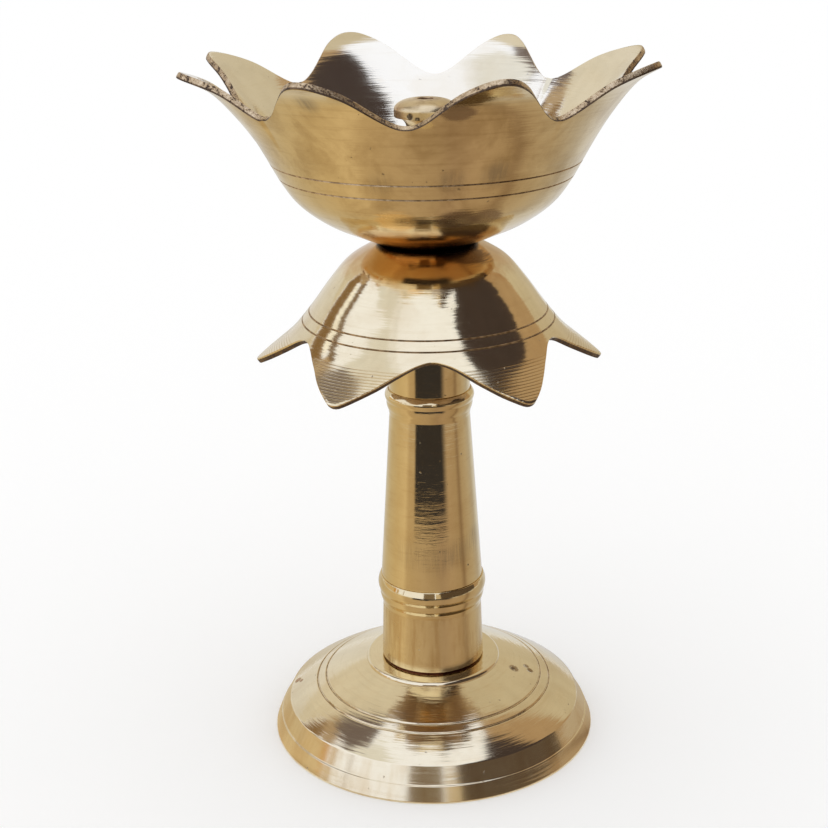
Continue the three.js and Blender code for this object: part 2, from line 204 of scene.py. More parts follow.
def turnedBrass(name, colour, tarnish, climb, spread, **changes):
    look = {**turned, **changes}
    finish = Finish(name)
    place = finish.place()
    x, y, z = finish.split(place)
    radius = finish.maths("SQRT", x * x + y * y)
    travel = z * climb + radius * spread
    sideX, sideY = x / (radius + 0.5), y / (radius + 0.5)  # never divides by nothing on the axis

    def marks(spacing, turns, detail=2.0):
        return finish.noise(finish.joined(sideX * turns, sideY * turns, travel / spacing), 1.0, detail, 0.6)

    broad = marks(look["broad"], 1.1)
    fine = marks(look["fine"], 3.2)
    streaks = finish.step(marks(0.9, 1.8, 4.0), 0.52, 0.72)
    clouds = finish.noise(place, 1 / look["cloudSize"], 4.0, 0.62, 0.5)
    grain = finish.noise(place, 0.32, 4.0, 0.68)
    worn = finish.step(clouds, 0.44, 0.68) * look["cloud"]
    patchy = finish.step(grain, 0.42, 0.66)
    specks = finish.step(finish.noise(place, 0.9, 2.0, 0.5), 0.74, 0.79) * look["specks"]
    shade = finish.clamped(worn + streaks * look["streaks"] + patchy * look["cloud"] * look["grain"])
    body = finish.blend(shade, colour, tarnish)
    rough = look["roughness"] + worn * look["dull"] + streaks * look["streakDull"]
    rough = rough + specks * look["speckDull"]
    if look["dullBelow"]:
        matte = finish.step(z, look["dullBelow"] + 0.2, look["dullBelow"] - 0.2)
        upright = finish.noise(finish.joined(sideX * 5.0, sideY * 5.0, z * 0.05), 1.0, 3.0, 0.6)
        streaked = finish.step(upright, 0.42, 0.68) * matte * look["matteTarnish"]
        body = finish.blend(streaked, body, tarnish)
        rough = rough + matte * look["matte"]
    # Painted bands: painted shade and painted reflections, laid by height
    for start, full, tint, strength in look["stains"]:
        stain = finish.step(z + (grain - 0.5) * abs(full - start), start, full) * strength
        body = finish.blend(stain, body, tint)
    body = finish.blend(specks, body, look["speckColour"])
    height = broad * look["broadDepth"] + fine * look["fineDepth"] - specks * look["speckDepth"]
    if look["ringDepth"]:
        waves = finish.maths("SINE", (travel + grain * 0.25) * (fullTurn / look["ringPitch"]))
        onPetals = finish.step(radius, look["ringsFrom"], look["ringsFrom"] + 0.8)
        lines = finish.step(waves, 0.1, 0.9) * onPetals
        height = height - lines * look["ringDepth"]
        body = finish.blend(lines * look["ringTarnish"], body, tarnish)
        rough = rough + onPetals * look["ringDull"]
    if look["blemishes"]:
        ragged = finish.noise(place, 1.3, 3.0, 0.6)
        smeared = finish.noise(finish.joined(sideX * 42.0, sideY * 42.0, z * 0.12), 1.0, 3.0, 0.6)
        flattened = finish.joined(x, y, z * look["flatness"])
    for kind, spot, reach, tint, strength in look["blemishes"]:
        if kind == "pit":
            mark = finish.near(place, spot, reach, 0.55) * finish.step(ragged, 0.34, 0.46) * strength
            height = height - mark * look["pitDepth"]
        elif kind == "smudge":
            mark = finish.near(place, spot, reach, 0.1) * finish.step(smeared, 0.2, 0.7) * strength
        else:
            # A patch is painted light: painted shade, a painted reflection and a painted highlight are each
            # given in the lists
            middle = (spot[0], spot[1], spot[2] * look["flatness"])
            edge = finish.near(flattened, middle, reach * 1.15, 0.0) + (broad + fine - 1.0) * 0.6
            mark = finish.step(edge, 0.2, 0.6) * strength
        body = finish.blend(mark, body, tint)
        rough = rough + mark * look["markDull"]
    return finish.principled(body, finish.clamped(rough), finish.bump(height))


# The filed edge of a petal, scratched across, with burnt specks. More of it is burnt at a lower limit.
def cutEdge(name, light, mid, limit):
    finish = Finish(name)
    place = finish.place()
    grain = finish.noise(place, 2.4, 4.0, 0.7)
    blotch = finish.noise(place, 0.55, 3.0, 0.65)
    dark = finish.step(blotch * 0.55 + grain * 0.45, limit, limit + 0.05)
    tint = finish.blend(finish.step(blotch * 0.5 + grain * 0.5, 0.36, 0.58), light, mid)
    colour = finish.blend(dark, tint, (0.07, 0.04, 0.022))
    rough = 0.3 + dark * 0.3
    return finish.principled(colour, rough, finish.bump(grain + blotch, 0.12), 1.0 - dark * 0.6)


# Old polish and soot in the bottom of a groove
def grooveDirt(name):
    finish = Finish(name)
    grain = finish.noise(finish.place(), 0.8, 3.0, 0.6)
    colour = finish.blend(finish.step(grain, 0.35, 0.65), (0.28, 0.18, 0.09), (0.60, 0.44, 0.25))
    return finish.principled(colour, 0.3 + grain * 0.2, finish.bump(grain, 0.02))


# Zinc-plated steel of the hidden fastenings
def platedSteel(name):
    finish = Finish(name)
    place = finish.place()
    cloud = finish.noise(place, 0.3, 4.0, 0.6)
    colour = finish.blend(finish.step(cloud, 0.3, 0.7), (0.60, 0.60, 0.58), (0.42, 0.42, 0.42))
    grain = finish.noise(place, 2.5, 3.0, 0.6)
    return finish.principled(colour, 0.3 + cloud * 0.25, finish.bump(grain, 0.02))


# Oiled leather of the seal under the wick holder
def oiledLeather(name):
    finish = Finish(name)
    place = finish.place()
    grain = finish.noise(place, 1.8, 5.0, 0.65)
    cloud = finish.noise(place, 0.26, 3.0, 0.5)
    colour = finish.blend(finish.step(cloud, 0.3, 0.7), (0.16, 0.08, 0.04), (0.07, 0.035, 0.02))
    return finish.principled(colour, 0.45 + grain * 0.3, finish.bump(grain, 0.06), 0.0)


pitColour = (0.07, 0.045, 0.03)
smudgeColour = (0.30, 0.26, 0.20)
# Painted shade in the gap where the bowl and the skirt meet
gapShadeColour = (0.03, 0.02, 0.015)  # where the bowl and the skirt meet
rustColour = (0.40, 0.19, 0.07)
ringColour = (0.33, 0.22, 0.11)
baseFinish = turnedBrass(
    "base brass", (0.87, 0.76, 0.52), (0.74, 0.58, 0.34), -0.4, 0.9, cloud=0.3, roughness=0.1,
    fineDepth=0.018, broadDepth=0.045, dullBelow=7.3, matte=0.05,
    blemishes=(
        ("pit", (19.1, -5.1, 15.2), 1.5, ringColour, 0.9), ("pit", (18.8, -5.3, 15.2), 0.7, pitColour, 0.6),
        ("pit", (22.2, -2.2, 14.1), 0.9, ringColour, 0.9), ("pit", (23.0, -3.5, 13.6), 1.0, ringColour, 1.0),
        ("pit", (-32.8, 3.0, 8.4), 1.1, rustColour, 0.9), ("pit", (-31.9, 1.6, 9.0), 0.7, rustColour, 0.8),
    ),
)
stemFinish = turnedBrass(
    "stem brass", (0.84, 0.70, 0.42), (0.66, 0.49, 0.25), 1.0, 0.0, cloud=0.4, dullBelow=31.4,
    # Painted shadow in the gap at the foot of the stem, over its lowest half millimetre
    stains=((heights["land"] + 0.55, heights["land"] + 0.4, (0.11, 0.035, 0.02), 1.0),), roughness=0.07,
    broadDepth=0.03, fineDepth=0.013,
    blemishes=(
        ("smudge", (1.5, -11.2, 45.8), 5.0, smudgeColour, 0.35),
        ("smudge", (6.0, -9.6, 47.2), 5.0, smudgeColour, 0.45),
        ("smudge", (9.8, -5.4, 49.4), 4.5, smudgeColour, 0.45),
        ("smudge", (-5.0, -10.0, 47.0), 5.5, smudgeColour, 0.25),
        ("pit", (1.8, -11.2, 48.4), 0.35, pitColour, 0.9), ("pit", (8.3, -8.0, 43.6), 0.3, pitColour, 0.8),
        ("pit", (7.0, -6.9, 70.3), 0.35, pitColour, 0.8),
    ),
)
skirtFinish = turnedBrass(
    "skirt brass", (0.88, 0.76, 0.50), (0.66, 0.49, 0.26), -0.65, 0.76, cloud=0.25, ringDepth=0.012,
    ringsFrom=30.4, ringTarnish=0.7, broadDepth=0.03, fineDepth=0.009, streaks=0.12,
    # Painted reflection: an orange glow on the crown below the bowl; then painted shade in the gap under the
    # bowl
    stains=((110.5, 115.5, (0.62, 0.36, 0.15), 0.7), (117.0, 117.5, gapShadeColour, 1.0)),
    # Painted shade on the right of the crown, under the bowl
    blemishes=(("patch", (8.0, -9.5, 117.4), 8.5, (0.16, 0.10, 0.07), 0.85),),
)
bowlFinish = turnedBrass(
    "bowl brass", (0.82, 0.67, 0.40), (0.56, 0.42, 0.22), 0.75, 0.66, roughness=0.11, cloud=0.6, dull=0.1,
    cloudSize=11.0, fineDepth=0.018, broadDepth=0.04, streaks=0.25,
    # Painted reflection of the skirt's orange glow on the bowl's underside, then painted shade in the gap
    # above the skirt
    stains=((124.5, 120.5, (0.76, 0.48, 0.18), 0.6), (118.4, 117.9, gapShadeColour, 1.0)),
    blemishes=(
        # Painted reflections of the skirt low on the front petals, an orange glow and two dark patches;
        # higher up a painted highlight and a painted dark reflection
        ("patch", (-6.5, -27.5, 127.6), 6.5, (0.95, 0.58, 0.18), 0.6),
        ("patch", (5.5, -28.0, 127.8), 6.5, (0.28, 0.19, 0.12), 0.8),
        ("patch", (11.5, -26.5, 128.2), 5.0, (0.28, 0.19, 0.12), 0.7),
        ("patch", (-0.5, -41.4, 148.8), 2.2, (0.98, 0.80, 0.40), 0.7),
        ("patch", (5.6, -42.6, 151.0), 5.0, (0.30, 0.21, 0.13), 0.8),
        ("smudge", (-22.6, -38.2, 152.6), 3.5, smudgeColour, 0.7),
        ("smudge", (13.1, -31.9, 137.7), 4.5, smudgeColour, 0.6),
        ("smudge", (4.5, -33.8, 136.7), 4.0, smudgeColour, 0.5),
        ("smudge", (-9.3, -32.6, 136.3), 4.0, smudgeColour, 0.4),
    ),
)
insideFinish = turnedBrass(
    "bowl inside brass", (0.95, 0.88, 0.70), (0.82, 0.70, 0.47), 0.75, 0.66, roughness=0.1, cloud=0.25,
    fineDepth=0.02, specks=0.2, streaks=0.12,
)
# The skirt's underside: its darker, greyer colour is painted shade
shadedUndersideFinish = turnedBrass(
    "skirt underside brass, painted shade", (0.72, 0.62, 0.55), (0.46, 0.37, 0.33), -0.65, 0.76, roughness=0.36, cloud=0.8,
    dull=0.15,
)
holderFinish = turnedBrass(
    "wick holder brass", (0.76, 0.61, 0.36), (0.50, 0.36, 0.19), 0.8, 0.5, roughness=0.3, cloud=1.0,
    cloudSize=5.0,
    blemishes=(
        # Painted shade in and around the wick hole at the top
        ("patch", (0.0, 0.0, 147.3), 3.2, (0.30, 0.15, 0.08), 0.8),
        ("smudge", (-6.3, -2.6, 144.9), 3.6, rustColour, 1.0),
        ("pit", (-3.4, -5.9, 145.0), 0.9, pitColour, 0.9), ("pit", (-1.8, -6.5, 144.5), 0.7, pitColour, 0.9),
    ),
)
edgeFinish = cutEdge("cut edge brass", (0.78, 0.62, 0.39), (0.46, 0.32, 0.17), 0.53)
# A very dark copy of the cut edge: painted shade on the skirt's cut edges and a painted shadow line on the
# bowl's lip, under its rim
shadedEdgeFinish = cutEdge("cut edge brass, painted shade", (0.22, 0.145, 0.08), (0.10, 0.062, 0.034), 0.48)
grooveFinish = grooveDirt("groove dirt")
steelFinish = platedSteel("plated steel")
leatherFinish = oiledLeather("oiled leather")
print("finishes made")


sharpAngle = 32  # degrees, past which an edge is shaded sharp


def finishPiece(bm, name, node, body, finishes):
    bmesh.ops.remove_doubles(bm, verts=bm.verts, dist=0.0001)
    bmesh.ops.recalc_face_normals(bm, faces=bm.faces)
    bmesh.ops.scale(bm, vec=(mm, mm, mm), verts=bm.verts)
    mesh = bpy.data.meshes.new(name)
    bm.to_mesh(mesh)
    bm.free()
    mesh.shade_smooth()
    mesh.set_sharp_from_angle(angle=math.radians(sharpAngle))
    for finish in finishes:
        mesh.materials.append(finish)
    piece = bpy.data.objects.new(name, mesh)
    bpy.context.scene.collection.objects.link(piece)
    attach(piece, body)
    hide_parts(node)
    print(name, "made,", len(mesh.polygons), "faces")
    return piece


def between(low, high, share):
    return low + (high - low) * share


# Takes the sharpness off the corners of a closed outline. Corners of less than the turn stay as they are.
def softened(outline, radius, turn=24, segments=4):
    spots = [Vector(spot) for spot in outline]
    rounded = []
    for before, corner, after in zip(spots[-1:] + spots[:-1], spots, spots[1:] + spots[:1]):
        arrive, leave = corner - before, after - corner
        if arrive.angle(leave, 0) < math.radians(turn):
            rounded.append(tuple(corner))
            continue
        reach = min(radius, arrive.length * 0.45, leave.length * 0.45)
        start, end = corner - arrive.normalized() * reach, corner + leave.normalized() * reach
        for place in range(segments + 1):
            share = place / segments
            rounded.append(tuple(start.lerp(corner, share).lerp(corner.lerp(end, share), share)))
    return rounded


# Adds a point beside each end of a long side, so that the shading stays flat between them
def held(outline, least=1.0, hold=0.1):
    spots = [Vector(spot) for spot in outline]
    points = []
    for start, end in zip(spots, spots[1:] + spots[:1]):
        side = end - start
        points.append(tuple(start))
        if side.length > least:
            points += [tuple(start + side.normalized() * hold), tuple(end - side.normalized() * hold)]
    return points


# Spins a closed outline of (radius, height) pairs about the axis
def spinOutline(outline, steps):
    bm = bmesh.new()
    corners = [bm.verts.new((radius, 0, height)) for radius, height in outline]
    sides = [bm.edges.new(pair) for pair in zip(corners, corners[1:] + corners[:1])]
    bmesh.ops.spin(
        bm, geom=corners + sides, cent=(0, 0, 0), axis=(0, 0, 1), angle=fullTurn, steps=steps, use_merge=True,
    )
    bmesh.ops.remove_doubles(bm, verts=bm.verts, dist=0.0001)
    return bm


def swelling(start, end, swell, steps=12):
    points = []
    for step in range(steps + 1):
        share = step / steps
        radius = between(start[0], end[0], share) + swell * math.sin(math.pi * share)
        points.append((radius, between(start[1], end[1], share)))
    return points


# A quarter of an ellipse, which leaves the start upright and meets the end level
def quarterRound(start, end, steps=10):
    angles = [fullTurn / 4 * step / steps for step in range(steps + 1)]
    return [
        (between(start[0], end[0], 1 - math.cos(angle)), between(start[1], end[1], math.sin(angle)))
        for angle in angles
    ]


def seatBelow(height):
    top = height + fit["spigotHeight"] + fit["gap"]
    return [(boreRadius, top), (recessRadius, top), (recessRadius, height)]


def spigotAbove(height, rise=fit["spigotHeight"]):
    return [(fit["spigotRadius"], height), (fit["spigotRadius"], height + rise), (boreRadius, height + rise)]


base = {
    "footRadius": 38.0, "ringWidth": 3.4, "lineHeight": 3.6, "lineInset": 1.7, "ledge": 0.28,
    "creaseHeight": 7.4, "creaseInset": 3.6, "shoulderInset": 7.1, "shoulderRise": 5.1,
    "grooves": (27.7, 25.6), "grooveWidth": 0.5, "grooveDepth": 0.2, "grooveClear": 1.5, "wall": 2.6,
    "landRadius": 14.9, "landBevel": 0.95, "bossRadius": 9.0, "bossHeight": 9.0, "steps": 288,
    "domeSteps": 56, "hollowSteps": 16, "edge": 0.28,
}


def makeBase(tries=2000):
    crease = Vector((base["footRadius"] - base["creaseInset"], base["creaseHeight"]))
    shoulder = crease + Vector((-base["shoulderInset"], base["shoulderRise"]))
    top = Vector((base["landRadius"] + base["landBevel"], heights["land"] - base["landBevel"]))
    landEdge = quarterRound(tuple(top + Vector((0, 0.05))), (base["landRadius"], heights["land"]), 8)

    def dome(share, depth=0.0):
        spot = crease * (1 - share) ** 2 + shoulder * 2 * share * (1 - share) + top * share ** 2
        run = ((shoulder - crease) * (1 - share) + (top - shoulder) * share).normalized()
        return spot + Vector((-run.y, run.x)) * depth

    half = base["grooveWidth"] / 2
    reach = half / (crease.x - top.x)  # half a groove as a share of the dome
    clear = half * base["grooveClear"]
    outside = [dome(step / base["domeSteps"]) for step in range(base["domeSteps"] + 1)]
    outside = [
        spot for spot in outside if all(abs(spot.x - groove) > clear for groove in base["grooves"])
    ]
    for groove in base["grooves"]:
        share = min((step / tries for step in range(tries + 1)), key=lambda s: abs(dome(s).x - groove))
        for side, sink in ((-1, 0), (0, 1), (1, 0), (-0.5, 0.8), (0.5, 0.8)):
            outside.append(dome(share + reach * side, base["grooveDepth"] * sink))
    outside = [tuple(spot) for spot in sorted(outside, key=lambda spot: -spot.x)]
    hollow = base["hollowSteps"]
    inside = [tuple(dome(step / hollow, base["wall"])) for step in range(hollow, 1, -1)]
    lineRadius = base["footRadius"] - base["lineInset"]
    outline = softened([
        (boreRadius, base["bossHeight"]), (base["bossRadius"], base["bossHeight"]),
        (base["bossRadius"], inside[0][1]), *inside, (base["footRadius"] - base["ringWidth"], 0),
        (base["footRadius"], 0), (lineRadius + base["ledge"], base["lineHeight"] - 0.05),
        (lineRadius, base["lineHeight"] + 0.06), *outside,
        *landEdge, *spigotAbove(heights["land"]),
    ], base["edge"], turn=40)
    bm = spinOutline(held(outline), base["steps"])
    for part in bm.faces:
        spot = part.calc_center_median()
        gap = min(abs(math.hypot(spot.x, spot.y) - groove) for groove in base["grooves"])
        if spot.z > base["creaseHeight"] and gap < half / 2:
            part.material_index = 1
    finishPiece(bm, "domed_base", "base", "pedestal", [baseFinish, grooveFinish])


makeBase()

stem = {
    "footRadius": 11.95, "waistRadius": 11.5, "waistHeight": 13.7, "undercutHeight": 0.5,
    "undercutDepth": 0.5, "shaftFootRadius": 11.75, "shaftTopRadius": 9.12, "neckRadius": 9.15, "lip": 0.25,
    "footBead": 3.9, "shaftBead": 2.6, "beadSwell": 0.5, "ring": 2.2, "ringSwell": 0.15, "ringStep": 0.6,
    "steps": 192, "edge": 0.16,
}


def ringAndBead(waistRadius, top, beadHeight):
    ringTop = (waistRadius + stem["ringStep"], top[1] - beadHeight)
    ringBottom = (waistRadius + stem["ringStep"] / 3, ringTop[1] - stem["ring"])
    ring = swelling(ringBottom, ringTop, stem["ringSwell"])
    return ring + swelling(ringTop, top, stem["beadSwell"], 16)[1:]


def makeStem():
    land, shaft, neck, hub = heights["land"], heights["shaft"], heights["neck"], heights["hub"]
    narrow = stem["footRadius"] - stem["undercutDepth"]
    foot = [
        *seatBelow(land), (narrow, land), (narrow, land + stem["undercutHeight"]),
        (stem["footRadius"], land + stem["undercutHeight"]),
        (stem["waistRadius"], land + stem["waistHeight"]),
        *ringAndBead(stem["waistRadius"], (stem["shaftFootRadius"] + stem["lip"], shaft), stem["footBead"]),
        *spigotAbove(shaft),
    ]
    waist = neck - stem["shaftBead"] - 1.5 * stem["ring"]
    tube = [
        *seatBelow(shaft), (stem["shaftFootRadius"], shaft), (stem["shaftTopRadius"], waist),
        *ringAndBead(stem["shaftTopRadius"], (stem["neckRadius"] + stem["lip"], neck), stem["shaftBead"]),
        *spigotAbove(neck),
    ]
    sleeve = [
        *seatBelow(neck), (stem["neckRadius"], neck), (stem["neckRadius"], hub),
        *spigotAbove(hub, fit["crownSpigot"]),
    ]
    for name, node, outline in (
        ("turned_stem_foot", "stem_foot", foot),
        ("tapered_shaft", "stem_shaft", tube),
        ("neck", "neck_sleeve", sleeve),
    ):
        bm = spinOutline(held(softened(outline, stem["edge"])), stem["steps"])
        finishPiece(bm, name, node, "pedestal", [stemFinish])


makeStem()

# Both lotus shells. Lengths are measured along the outline, from the crown outwards. The rim's profile
# has shares of its rounding, back from the cut, and of the wall, through it from the outside.
lotus = {
    "seatRadius": stem["neckRadius"] + 0.5, "hubFade": 14.0, "hubStart": 3.5, "rootSetback": 1.6,
    "grooveWidth": 0.4, "grooveDepth": 0.15, "grooveClear": 1.6, "ringSpacing": 0.8, "edgeRagged": 0.16,
    "raggedScale": 9, "leanStart": 8.5, "leanFade": 0.35, "notchRound": 0.08, "rimRound": 0.28,
    "rimProfile": ((1, 0), (0.3, 0.06), (0, 0.25), (0, 0.5), (0, 0.75), (0.3, 0.94), (1, 1)),
}
# The place of each finish in a shell's list. The lip is the outer corner of the cut edge.
lotusSlots = {"outside": 0, "inside": 1, "cut": 2, "groove": 3, "lip": 4}
# Shifts are degrees that each notch is cut off an even spacing, trims the length that each petal falls
# short by, and leans its outward bend at the tip
skirt = {
    "crownRadius": 10.3, "tipRadius": 38.7, "rise": -26.8, "wall": 1.4, "petals": 6, "notchDepth": 12.5,
    "grooves": (4.7, 2.2), "turn": 0.0, "inward": -1, "petalSteps": 64, "roundness": 0.18, "power": 1.4,
    "tipRound": 0.08, "shifts": (0.9, 3.3, 0, 0, 0, -5.4), "trims": (0.2, 0, 0.6, 0.6, 0, 0.5),
    "leans": (0,) * 6,
    "curve": ((0, 0), (0.13, 0.063), (0.271, 0.164), (0.412, 0.343), (0.57, 0.571), (0.746, 0.787), (1, 1)),
}
bowl = {
    "crownRadius": 10.6, "tipRadius": 51.0, "rise": 39.4, "wall": 1.4, "petals": 8, "notchDepth": 14.5,
    "grooves": (17.1, 13.6), "turn": -4.8, "inward": 1, "petalSteps": 52, "roundness": 0.31,
    "power": 1.25, "tipRound": 0.15, "shifts": (-1, -1.4, 3.1, 3.8, 0.6, 5.9, 2.5, -3.3),
    "trims": (0.7, 0.2, 0.2, 2.9, 1.3, 0, 0, 2.1), "leans": (0, 0.7, 2.1, 0, 0, 2.2, 2.4, 0),
    "curve": (
        (0, 0), (0.134, 0.061), (0.282, 0.132), (0.418, 0.234), (0.505, 0.35), (0.599, 0.525), (0.708, 0.718),
        (0.842, 0.896), (1, 1),
    ),
}


# How far the rim rises from a notch (phase 0) to a tip (phase 1). Both are rounded off.
def rimShare(shape, phase):
    foot, tip = lotus["notchRound"], shape["tipRound"]
    if phase < foot:
        phase = (foot + phase ** 2 / foot) / 2
    elif phase > 1 - tip:
        phase = 1 - (tip + (1 - phase) ** 2 / tip) / 2
    phase = (phase - foot / 2) / (1 - (foot + tip) / 2)
    return between(phase, (1 - math.cos(math.pi * phase)) / 2, shape["roundness"]) ** shape["power"]


# Angles of the notches from the right-hand side; the last closes the ring
def notchAngles(shape):
    first = math.radians(shape["turn"]) - math.pi / 2
    angles = [
        first + fullTurn * place / shape["petals"] + math.radians(shift)
        for place, shift in enumerate(shape["shifts"])
    ]
    return [*angles, angles[0] + fullTurn]


def splinePoint(points, share):
    last = len(points) - 1
    place = min(share * last, last - 1e-9)
    index = int(place)
    w = place - index
    a, b, c, d = (points[min(max(index + shift, 0), last)] for shift in (-1, 0, 1, 2))
    leave, arrive = (c - a) / 2, (d - b) / 2
    cubic = (2 * b - 2 * c + leave + arrive) * w ** 3
    return cubic + (3 * c - 3 * b - 2 * leave - arrive) * w ** 2 + leave * w + b


# Returns the outline's length and a function from distance and depth to a point on or under the face
def measuredOutline(shape, samples=600):
    crown, tip, rise = shape["crownRadius"], shape["tipRadius"], shape["rise"]
    points = [
        Vector((between(crown, tip, across), heights["crown"] + up * rise)) for across, up in shape["curve"]
    ]
    line = [splinePoint(points, step / samples) for step in range(samples + 1)]
    marks = [0.0]
    for start, end in zip(line, line[1:]):
        marks.append(marks[-1] + (end - start).length)

    def face(distance, depth):
        index = min(max(bisect.bisect_right(marks, distance) - 1, 0), samples - 1)
        share = (distance - marks[index]) / (marks[index + 1] - marks[index])
        start, end = line[max(index - 1, 0)], line[min(index + 2, samples)]
        run = (end - start).normalized()
        return line[index].lerp(line[index + 1], share) + Vector((-run.y, run.x)) * depth * shape["inward"]

    return marks[-1], face


# A flat ring of metal with its grooves, spun, then raised over the outline and cut to the petals
def makeLotus(shape, name, node, body, finishes):
    length, face = measuredOutline(shape)
    notch = length - shape["notchDepth"]
    root = notch - lotus["rootSetback"]
    crown = shape["crownRadius"]
    hubFace = heights["crown"] + shape["inward"] * hubThickness
    grooves = [notch - setback for setback in shape["grooves"]]
    half = lotus["grooveWidth"] / 2
    leanReach = notch - lotus["leanStart"]
    notches = notchAngles(shape)

    count = int(length / lotus["ringSpacing"])
    rings = [boreRadius - crown, lotus["seatRadius"] - crown]
    rings += [length * step / count for step in range(count)]
    clear = half * lotus["grooveClear"]
    rings = [d for d in rings if all(abs(d - groove) > clear for groove in grooves)]
    rings += [groove + side * half for groove in grooves for side in (-1, -0.5, 0, 0.5, 1)]
    rings.sort()
    flat = [(d, 0) for d in rings]
    flat += [(length - lotus["rimRound"] * back, share) for back, share in lotus["rimProfile"]]
    flat += [(d, 1) for d in reversed(rings)]
    bm = spinOutline([(crown + d, share) for d, share in flat], shape["petalSteps"] * shape["petals"])
    bmesh.ops.recalc_face_normals(bm, faces=bm.faces)

    def wallAt(distance):
        return between(hubThickness, shape["wall"], min(1, distance / lotus["hubFade"]))

    seat = Vector((lotus["seatRadius"], hubFace))
    inner = face(lotus["hubStart"], wallAt(lotus["hubStart"]))
    levels = bm.verts.layers.float.new("level")  # 0 on the hub, 1 outside to 2 inside, 4 in a groove
    for vert in bm.verts:
        x, y, share = vert.co
        distance = math.hypot(x, y) - crown
        pitches = (math.atan2(y, x) % fullTurn) * shape["petals"] / fullTurn
        petal = min(int(pitches), shape["petals"] - 1)
        across = pitches - petal
        angle = between(notches[petal], notches[petal + 1], across)
        if distance > root:
            way = Vector((math.cos(angle), math.sin(angle), shape["petals"]))
            ragged = noise.noise(way * lotus["raggedScale"])
            rim = between(notch, length - shape["trims"][petal], rimShare(shape, 1 - abs(2 * across - 1)))
            rim += ragged * lotus["edgeRagged"]
            distance = between(root, rim, (distance - root) / (length - root))
        if distance < 0 and share < 0.5:
            spot = Vector((crown + distance, heights["crown"]))
        elif share > 0.5 and crown + distance <= lotus["seatRadius"] + 1e-4:
            spot = Vector((crown + distance, hubFace))
        elif share > 0.5 and distance < lotus["hubStart"]:
            start = lotus["seatRadius"] - crown
            spot = seat.lerp(inner, (distance - start) / (lotus["hubStart"] - start))
        else:
            sink = sum(max(0, 1 - abs(distance - groove) / half) for groove in grooves) * lotus["grooveDepth"]
            lean = shape["leans"][petal] * max(0, math.sin(math.pi * across)) ** lotus["leanFade"]
            bend = lean * max(0, (distance - leanReach) / (length - leanReach))
            spot = face(distance, share * wallAt(distance) + (sink if share == 0 else 0) - bend)
            inGroove = share == 0 and sink > 0.4 * lotus["grooveDepth"]
            vert[levels] = 4 if inGroove else 1 + share
        vert.co = (spot.x * math.cos(angle), spot.x * math.sin(angle), spot.y)
    for part in bm.faces:
        low, *_, high = sorted(vert[levels] for vert in part.verts)
        if high > 3:
            kind = "groove"
        elif high > 1.3:
            kind = "inside" if low > 1.99 or low < 1 else "cut"
        else:
            kind = "lip" if high > 1.01 else "outside"
        part.material_index = lotusSlots[kind]
    finishPiece(bm, name, node, body, finishes)


# The skirt's underside and cut edges carry painted shade
makeLotus(
    skirt, "petal_skirt", "lower_lotus", "pedestal",
    [skirtFinish, shadedUndersideFinish, shadedEdgeFinish, grooveFinish, skirtFinish],
)
# The bowl's lip, the outer rounding under its rim, carries a painted shadow line
makeLotus(
    bowl, "lotus_bowl", "upper_lotus", "bowl",
    [bowlFinish, insideFinish, edgeFinish, grooveFinish, shadedEdgeFinish],
)

holder = {
    "height": 27.3, "flangeRadius": 7.0, "flange": 1.5, "stalkRadius": 4.1, "fillet": 0.8, "headRadius": 6.75,
    "headHeight": 4.0, "headBand": 1.5, "flare": 2.4, "lip": 2.3, "hole": 1.7, "steps": 160, "edge": 0.25,
    "worn": 0.25,
}


def makeWickHolder():
    bottom = heights["flange"]
    top = bottom + holder["height"]
    widest = top - holder["headHeight"]
    worn = top - holder["worn"]
    boreTop = heightOf("tie_rod", 1) + fit["gap"]
    flangeTop = bottom + holder["flange"]
    stalk, head, hole = holder["stalkRadius"], holder["headRadius"], holder["hole"]
    outline = softened([
        (boreRadius, bottom), (holder["flangeRadius"], bottom), (holder["flangeRadius"], flangeTop),
        (stalk + holder["fillet"], flangeTop), (stalk, flangeTop + holder["fillet"]),
        *quarterRound((stalk, widest - holder["flare"]), (head, widest)),
        *quarterRound((head, widest + holder["headBand"]), (holder["lip"], worn), 14),
        (hole, worn), (hole, boreTop), (boreRadius, boreTop),
    ], holder["edge"])
    bm = spinOutline(held(outline), holder["steps"])
    finishPiece(bm, "wick_knob", "wick_holder", "wick_holder", [holderFinish])


def makeRing(name, node, body, finish, steps=96, edge=0.2):
    low, high = (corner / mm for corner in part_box(node))
    outline = [(boreRadius, low.z), (high.x, low.z), (high.x, high.z), (boreRadius, high.z)]
    bm = spinOutline(held(softened(outline, edge)), steps)
    finishPiece(bm, name, node, body, [finish])


def makeRod(steps=48, chamfer=0.4):
    low, high = (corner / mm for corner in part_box("tie_rod"))
    bm = bmesh.new()
    turn = bmesh.ops.create_cone(
        bm, cap_ends=True, segments=steps, radius1=rodRadius, radius2=rodRadius, depth=high.z - low.z,
    )
    bmesh.ops.translate(bm, vec=(0, 0, (high.z + low.z) / 2), verts=turn["verts"])
    ends = [e for e in bm.edges if e.calc_face_angle(0) > math.radians(60)]
    bmesh.ops.bevel(
        bm, geom=ends, offset=chamfer, offset_type="OFFSET", segments=1, profile=0.5, affect="EDGES",
        clamp_overlap=True, material=-1,
    )
    finishPiece(bm, "through_rod", "tie_rod", "pedestal", [steelFinish])


